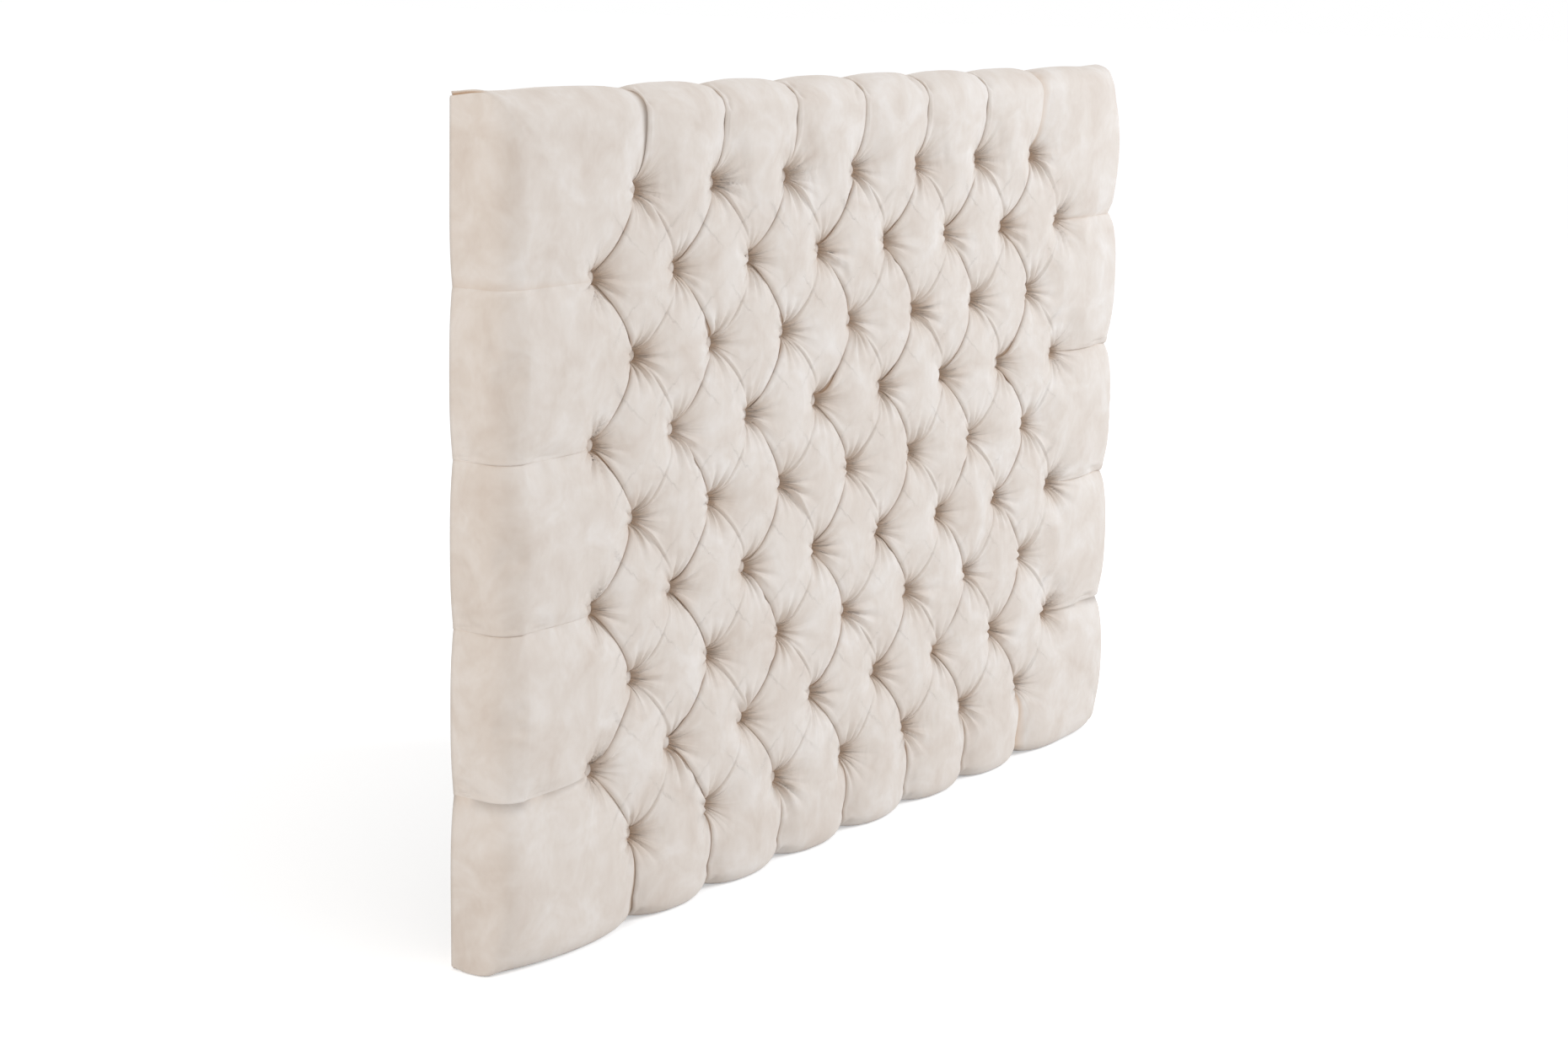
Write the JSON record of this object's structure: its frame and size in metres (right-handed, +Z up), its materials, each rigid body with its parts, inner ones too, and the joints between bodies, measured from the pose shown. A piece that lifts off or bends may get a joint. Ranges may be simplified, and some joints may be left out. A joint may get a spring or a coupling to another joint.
{
  "type": "headboard",
  "caption": "Deep-buttoned, diamond-tufted velvet headboard on a timber frame, with covered buttons and bolt inserts for bed brackets.",
  "frame": {"origin": "on the floor, midway along the width and midway through the thickness", "axes": "+X along the width, -Y out of the tufted face towards the bed, +Z up"},
  "size_m": [1.8, 0.1, 1.22],
  "materials": {
    "velvet": "matte",
    "wadding": "matte",
    "foam": "matte",
    "pine": "matte",
    "plywood": "matte",
    "zinc_steel": "satin",
    "black_plastic": "matte",
    "back_cloth": "matte",
    "twine": "matte"
  },
  "bodies": {
    "root": {"velvet_cover": "velvet", "button_caps": "velvet", "wadding": "wadding", "foam_pad": "foam", "left_edge_pad": "foam", "right_edge_pad": "foam", "bottom_edge_pad": "foam", "top_edge_pad": "foam", "bottom_rail": "pine", "top_rail": "pine", "left_stile": "pine", "right_stile": "pine", "left_inner_stile": "pine", "right_inner_stile": "pine", "centre_cross_rail": "pine", "left_cross_rail": "pine", "right_cross_rail": "pine", "corner_blocks": "plywood", "front_board": "plywood", "frame_screws": "zinc_steel", "board_screws": "zinc_steel", "corner_block_screws": "zinc_steel", "foot_screws": "zinc_steel", "bracket_inserts": "zinc_steel", "cover_staples": "zinc_steel", "back_sheet_staples": "zinc_steel", "button_backs": "zinc_steel", "feet": "black_plastic", "twine_washers": "black_plastic", "back_sheet": "back_cloth", "button_twines": "twine"}
  },
  "joints": []
}
